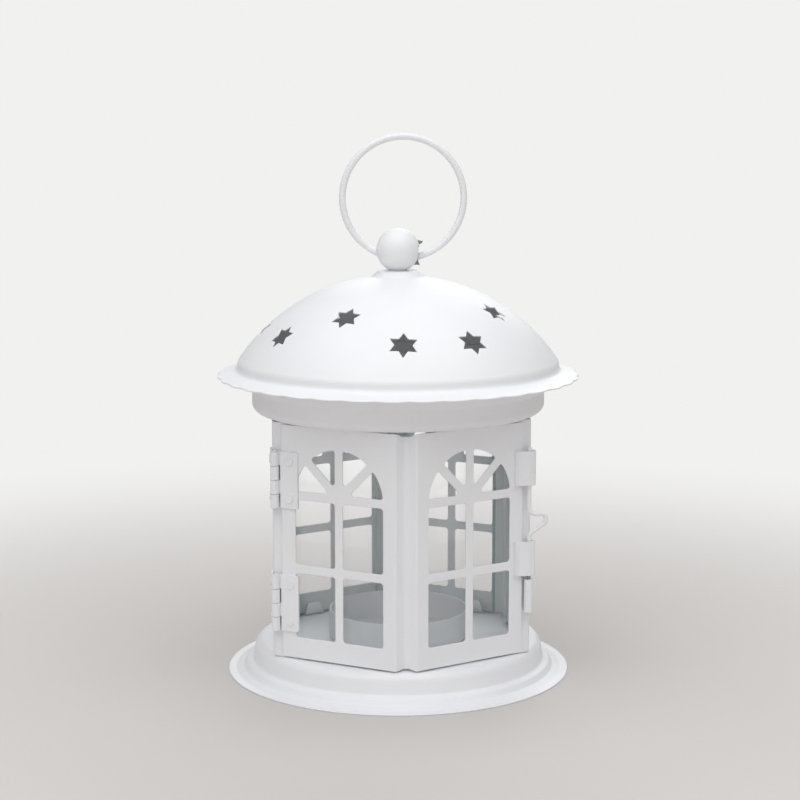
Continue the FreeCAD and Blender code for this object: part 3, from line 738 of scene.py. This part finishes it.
def ball_surface():
    """Hollow ball with two holes on the ring's line and a neck.

    A point lies psi away from that line and alpha round it, at the ball's radius. Psi runs from one hole's
    edge to the other's. The right hole is torn, so its edge wanders with alpha and its lips are bent out.
    """
    alpha = full_turn(BALL_TURN)
    sag = math.asin(pivot_drop / ball_r) * np.cos(alpha)
    ragged = torn_clear + sum(size * np.sin(count * alpha + start) for count, size, start in TORN_WAVES)
    torn = math.asin(entry_hole_r / ball_r) + sag + ragged
    neat = math.pi - math.asin(ring_hole_r / ball_r) - sag
    lips = sum(reach * np.exp(-((alpha - at) / lip_width) ** 2) for at, reach in TORN_LIPS)
    share = np.concatenate([np.linspace(0, torn_band, LIP_ROWS, endpoint=False),
                            np.linspace(torn_band, 1, BALL_ROWS)])[:, None]
    psi = torn * (1 - share) + neat * share
    bent = np.clip(1 - share / torn_band, 0, 1) ** 2 * lips

    def skin(r):
        away = r * np.sin(psi) + bent * lip_lean
        x = r * np.cos(psi) + bent
        return np.stack([x, -away * np.sin(alpha), z_ball - away * np.cos(alpha)], axis=-1)

    skins = np.concatenate([skin(ball_r), skin(ball_r - sheet)[::-1]])
    shell = grid(skins, closed_rows=True, closed_columns=True)
    corners = [(ball_neck_r, z_ball - neck_start), (ball_neck_r, z_crown - sheet),
               (ball_neck_r + neck_flange, z_crown - sheet)]
    neck = lathe(sheet_loop(rounded(corners, [neck_bend]), sheet), NECK_TURN)
    return joined([shell, neck])


def ball_finish(surface):
    """Bare metal for the edge and the bent lips of the ball's torn hole, paint for the other faces."""
    points, faces = surface
    x, y, z = (points[faces].mean(axis=1) - (0, 0, z_ball)).T
    away = np.hypot(y, z + pivot_drop)
    lifted = x * x + y * y + z * z > (ball_r + lip_rise) ** 2
    return (x > 0) & ((away < entry_hole_r + bare_edge) | lifted & (away < lip_field_r))


def ring_surface():
    """Round wire carried along a circle in the XZ plane."""
    a = full_turn(RING_TURN)[:, None]
    b = full_turn(WIRE_TURN)
    r = ring_r + ring_wire_r * np.cos(b)
    y = ring_wire_r * np.sin(b) + np.zeros_like(a)
    points = np.stack([ring_slip + r * np.sin(a), y, z_ring + r * np.cos(a)], axis=-1)
    return grid(points, closed_rows=True, closed_columns=True)


def bolt_surface():
    """Round wire carried along a path with a thumb loop in an XZ plane.

    Its two ends are rounded off over half the wire's radius.
    """
    low, high = (np.array(corner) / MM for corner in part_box("slide_bolt"))
    z_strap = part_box("lower_bolt_strap")[1].z / MM
    z_level = z_strap + thumb_level
    corners = [(0, high[2]), (0, z_level), (thumb_reach, z_level), (thumb_reach, z_level - thumb_drop),
               (0, z_strap + thumb_rest), (0, low[2])]
    path, normals = rounded(corners, THUMB_BENDS)
    wire_r = bolt_wire / 2
    t = np.linspace(0, np.pi / 2, BEND + 1)
    inset = wire_r / 2 * (1 - np.cos(t))
    top = np.stack([0 * t, high[2] - inset], axis=1)
    foot = np.stack([0 * t, low[2] + inset[::-1]], axis=1)
    centres = np.concatenate([top, path[2:-2], foot])
    sides = np.concatenate([normals[[0] * len(t)], normals[2:-2], normals[[-1] * len(t)]])
    r = wire_r * np.concatenate([np.sin(t), np.ones(len(path) - 4), np.sin(t[::-1])])[:, None]
    b = full_turn(WIRE_TURN)
    x, z = (centres[:, i, None] + sides[:, i, None] * r * np.cos(b) for i in (0, 1))
    y = (low[1] + high[1]) / 2 + r * np.sin(b)
    return grid(np.stack([low[0] + wire_r + x, y, z], axis=-1), closed_columns=True)


# Materials

cloud_size = 16.0       # width of a faint cloud in the paint's tone
peel_size = 0.9         # width of a dimple of the sprayed skin
sag_size = 8.0          # width of a slow wave in the paint
grit_spacing = 6.0      # between grit specks, before most are left out
grit_core = 0.03        # radius of a speck's dark middle, as a share of the spacing
grit_edge = 0.05        # and of its faded edge
grit_left_out = 0.93    # share of the specks that are left out
grey_top = 33.9          # the bolt's wire turns to grey metal below this height
grey_fade = 0.2          # and fades out over as much either way
grey_share = 0.85        # how much of the grey metal shows there


def linear(code):
    """Linear colour of an sRGB hex code."""
    c = np.array([int(code[i:i + 2], 16) for i in (1, 3, 5)]) / 255
    c = np.where(c <= 0.04045, c / 12.92, ((c + 0.055) / 1.055) ** 2.4)
    return (*map(float, c), 1.0)


def add(tree, kind, links=None, **settings):
    """Add a node: settings are its own properties, links gives each input a value or another's output."""
    node = tree.nodes.new("ShaderNode" + kind)
    for key, value in settings.items():
        setattr(node, key, value)
    for key, value in (links or {}).items():
        if isinstance(value, bpy.types.NodeSocket):
            tree.links.new(value, node.inputs[key])
        else:
            node.inputs[key].default_value = value
    return node


def new_material(name):
    """Material with an empty node tree, and that tree."""
    material = bpy.data.materials.new(name)
    material.use_nodes = True
    material.node_tree.nodes.clear()
    return material, material.node_tree


def satin_white_paint(name, soft_edges=False):
    """Sprayed satin enamel on sheet steel: near-white with a faint cloud, a fine peel and a few grit specks.

    Soft edges round off the sharp edges of a CAD node in the shading.
    """
    material, tree = new_material(name)
    where = add(tree, "TexCoord").outputs["Object"]
    cloud, peel, sag = (
        add(tree, "TexNoise", {"Vector": where, "Scale": 1 / (size * MM), "Detail": detail}).outputs["Fac"]
        for size, detail in ((cloud_size, 3.0), (peel_size, 2.0), (sag_size, 1.0)))
    tone = add(tree, "Mix", {"Factor": cloud, "A": linear("#EEEFF2"), "B": linear("#F4F5F7")},
               data_type="RGBA")
    grit = add(tree, "TexVoronoi", {"Vector": where, "Scale": 1 / (grit_spacing * MM)}).outputs
    near = add(tree, "MapRange", {"Value": grit["Distance"], "From Min": grit_core, "From Max": grit_edge,
                                  "To Min": 1.0, "To Max": 0.0}).outputs["Result"]
    chance = add(tree, "SeparateColor", {"Color": grit["Color"]}).outputs["Red"]
    rare = add(tree, "Math", {0: chance, 1: grit_left_out}, operation="GREATER_THAN").outputs["Value"]
    speck = add(tree, "Math", {0: near, 1: rare}, operation="MULTIPLY").outputs["Value"]
    colour = add(tree, "Mix", {"Factor": speck, "A": tone.outputs[2], "B": linear("#8E8A84")},
                 data_type="RGBA")
    height = add(tree, "Math", {0: peel, 1: sag}, operation="ADD").outputs["Value"]
    bump = add(tree, "Bump", {"Strength": 0.05, "Distance": paint_edge * MM, "Height": height})
    if soft_edges:
        soft = add(tree, "Bevel", {"Radius": paint_edge * MM}, samples=6)
        tree.links.new(soft.outputs["Normal"], bump.inputs["Normal"])
    rough = add(tree, "MapRange", {"Value": cloud, "To Min": 0.36, "To Max": 0.5}).outputs["Result"]
    shade = add(tree, "BsdfPrincipled", {"Base Color": colour.outputs[2], "Roughness": rough, "IOR": 1.5,
                                         "Normal": bump.outputs["Normal"]})
    add(tree, "OutputMaterial", {"Surface": shade.outputs["BSDF"]})
    return material


def grey_lower_wire_paint():
    """Painted wire that turns to grey metal below a set height, under the lower strap."""
    material = satin_white_paint("satin_white_enamel_grey_lower_wire")
    tree = material.node_tree
    painted = next(node for node in tree.nodes if node.type == "BSDF_PRINCIPLED")
    where = add(tree, "TexCoord").outputs["Object"]
    height = add(tree, "SeparateXYZ", {"Vector": where}).outputs["Z"]
    # grey metal on the wire below a set height, mixed in over the white paint
    greyed = add(tree, "MapRange", {"Value": height, "From Min": (grey_top - grey_fade) * MM,
                                  "From Max": (grey_top + grey_fade) * MM,
                                  "To Min": grey_share, "To Max": 0.0}).outputs["Result"]
    steel = add(tree, "BsdfPrincipled", {"Base Color": linear("#8B8882"), "Metallic": 1.0, "Roughness": 0.4})
    mixed = add(tree, "MixShader", {0: greyed, 1: painted.outputs["BSDF"], 2: steel.outputs["BSDF"]})
    out = next(node for node in tree.nodes if node.type == "OUTPUT_MATERIAL")
    tree.links.new(mixed.outputs["Shader"], out.inputs["Surface"])
    return material


def bare_zinc_edge():
    """Torn sheet edge where the paint has not taken: dull green-grey zinc."""
    material, tree = new_material("bare_zinc_torn_edge")
    shade = add(tree, "BsdfPrincipled", {"Base Color": linear("#71857C"), "Metallic": 0.3, "Roughness": 0.5})
    add(tree, "OutputMaterial", {"Surface": shade.outputs["BSDF"]})
    return material


def float_glass():
    """Clear window glass: bright reflections at a slant and a faint green tint.

    Light passes straight through it to what lies behind.
    """
    material, tree = new_material("clear_float_glass")
    shade = add(tree, "BsdfPrincipled", {"Base Color": linear("#FFFFFF"), "Roughness": 0.0, "IOR": 1.5,
                                         "Transmission Weight": 1.0})
    tint = add(tree, "VolumeAbsorption", {"Color": linear("#7FC7AE"), "Density": 3.0})
    through = add(tree, "BsdfTransparent", {"Color": linear("#FDFEFE")})
    ray = add(tree, "LightPath").outputs
    lit = add(tree, "Math", {0: ray["Is Shadow Ray"], 1: ray["Is Diffuse Ray"]}, operation="MAXIMUM")
    mixed = add(tree, "MixShader", {0: lit.outputs[0], 1: shade.outputs["BSDF"], 2: through.outputs["BSDF"]})
    add(tree, "OutputMaterial", {"Surface": mixed.outputs["Shader"], "Volume": tint.outputs["Volume"]})
    return material


def cut_glass_edge():
    """Cut edge of window glass: a matt, pale sea green."""
    material, tree = new_material("cut_glass_edge")
    shade = add(tree, "BsdfPrincipled", {"Base Color": linear("#A8CCC4"), "Roughness": 0.35, "IOR": 1.5})
    add(tree, "OutputMaterial", {"Surface": shade.outputs["BSDF"]})
    return material


# Pieces

paint = satin_white_paint("satin_white_enamel")
hardware_paint = satin_white_paint("satin_white_enamel_hardware", soft_edges=True)
# white wire paint that turns to grey metal below a set height
bolt_paint = grey_lower_wire_paint()
torn_edge = bare_zinc_edge()
pane_materials = [float_glass(), cut_glass_edge()]
PANE_FINISH = (1, 1, 0, 0, 1, 1)    # a pane's front and back are clear, its ends, foot and head are cut

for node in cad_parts:
    cad = bpy.data.objects[node]
    cad.data.materials.clear()
    cad.data.materials.append(hardware_paint)

add_piece("base_pressing", "frame", base_surface(), [paint], "base_dish")
add_piece("tea_light_cup", "frame", cup_surface(), [paint], "candle_cup")
add_piece("collar_pressing", "frame", collar_surface(), [paint], "collar_pan")
add_piece("roof_pressing", "frame", roof_surface(), [paint], "roof_dome")
ball = ball_surface()
add_piece("hollow_ball", "frame", ball, [paint, torn_edge], "finial_ball", finish=ball_finish(ball))
add_piece("cage_left", "frame", cage_surface(1), [paint], "cage_sheet_left", shade="folded")
add_piece("cage_right", "frame", cage_surface(-1), [paint], "cage_sheet_right", shade="folded")
add_piece("door_frame", "door", door_surface(), [paint], "door_sheet", shade="folded")
add_piece("wire_bolt", "bolt", bolt_surface(), [bolt_paint], "slide_bolt")
add_piece("wire_ring", "ring", ring_surface(), [paint], "hanging_ring")
for side, azimuth in (("left_side", -90), ("left_rear", -150), ("right_rear", 150), ("right_side", 90)):
    add_piece("pane_" + side, "frame", pane_surface(azimuth, z_floor, z_ceiling), pane_materials,
              "cage_pane_" + side, finish=PANE_FINISH, shade="flat")
for side, azimuth in zip(("left", "right"), DOOR_FACES):
    add_piece("pane_door_" + side, "door", pane_surface(azimuth, door_foot, door_head), pane_materials,
              "door_pane_" + side, finish=PANE_FINISH, shade="flat")


# Floor, light and camera: the places of lamps and camera are in metres

floor_r = 1700.0
floor_hole_r = 1.0      # keeps the floor's middle from closing to a point
wall_height = 650.0
wall_bend = 600.0
FLOOR_TURN = 96
glow_start = 100.0      # distance from the lantern's foot at which the floor starts to glow
glow_full = 360.0       # and from which all of it does
camera_place = (-0.0337, -0.6129, 0.1810)
camera_fall = 9.11      # below level
camera_turn = 3.2       # to the right of straight on
camera_sensor = 36.0
camera_lens = 92.56


def floor_paint():
    """Pale matt floor that fades into an even glow further out, for the camera and through glass."""
    material, tree = new_material("pale_matt_floor")
    material.cycles.emission_sampling = "NONE"      # the glow is only seen and lights nothing
    shade = add(tree, "BsdfPrincipled", {"Base Color": linear("#CFCBC8"), "Roughness": 0.9})
    where = add(tree, "TexCoord").outputs["Object"]
    reach = add(tree, "VectorMath", {0: where}, operation="LENGTH").outputs["Value"]
    far = add(tree, "MapRange", {"Value": reach, "From Min": glow_start * MM, "From Max": glow_full * MM},
              interpolation_type="SMOOTHSTEP").outputs["Result"]
    ray = add(tree, "LightPath").outputs
    seen = add(tree, "Math", {0: ray["Is Camera Ray"], 1: ray["Is Transmission Ray"]}, operation="ADD")
    share = add(tree, "Math", {0: seen.outputs[0], 1: far}, operation="MULTIPLY").outputs[0]
    glow = add(tree, "Emission", {"Color": linear("#F1F1F0")})
    mixed = add(tree, "MixShader", {0: share, 1: shade.outputs["BSDF"], 2: glow.outputs["Emission"]})
    add(tree, "OutputMaterial", {"Surface": mixed.outputs["Shader"]})
    return material


def studio_dish():
    """Floor that turns up into a round wall: a profile of floor, bend and wall turned about the axis."""
    path = rounded([(floor_hole_r, 0), (floor_r, 0), (floor_r, wall_height)], [wall_bend])[0]
    points = around(path[:, :1], full_turn(FLOOR_TURN), path[:, 1:])
    mesh = new_mesh("studio_dish", grid(points, closed_columns=True), [floor_paint()])
    mesh.shade_smooth()
    new_object("studio_dish", mesh)


def soft_light(name, place, aim, size, power):
    """Square soft box at place, turned towards aim."""
    lamp = bpy.data.lights.new(name, "AREA")
    lamp.size = size
    lamp.energy = power
    box = new_object(name, lamp)
    box.location = place
    x, y, z = np.asarray(aim, float) - np.asarray(place, float)
    box.rotation_euler = (math.atan2(math.hypot(x, y), -z), 0.0, math.atan2(-x, y))


def studio_sky():
    """Even, faintly cool light from all round."""
    world = bpy.data.worlds.new("studio")
    world.use_nodes = True
    world.node_tree.nodes.clear()
    sky = add(world.node_tree, "Background", {"Color": linear("#EAEDF2"), "Strength": 0.29})
    add(world.node_tree, "OutputWorld", {"Surface": sky.outputs["Background"]})
    return world


def photo_camera():
    """Camera at the photograph's place and angle."""
    view = bpy.data.cameras.new("photo_camera")
    view.sensor_width = camera_sensor
    view.lens = camera_lens
    camera = new_object("photo_camera", view)
    camera.location = camera_place
    camera.rotation_euler = (math.radians(90 - camera_fall), 0, math.radians(-camera_turn))
    return camera


studio_dish()
soft_light("key_box", place=(-0.85, -0.75, 0.7), aim=(0, 0, 0.08), size=0.9, power=1.0)
soft_light("top_box", place=(0.0, -0.3, 1.2), aim=(0, 0, 0.1), size=1.8, power=16.2)
soft_light("back_box", place=(0.25, 1.2, 0.75), aim=(0, 0, 0.05), size=0.9, power=4.0)
soft_light("front_box", place=(-0.1, -1.35, 0.32), aim=(0, 0, 0.07), size=1.0, power=2.2)

scene = bpy.context.scene
scene.view_settings.view_transform = "Standard"
scene.world = studio_sky()
scene.camera = photo_camera()
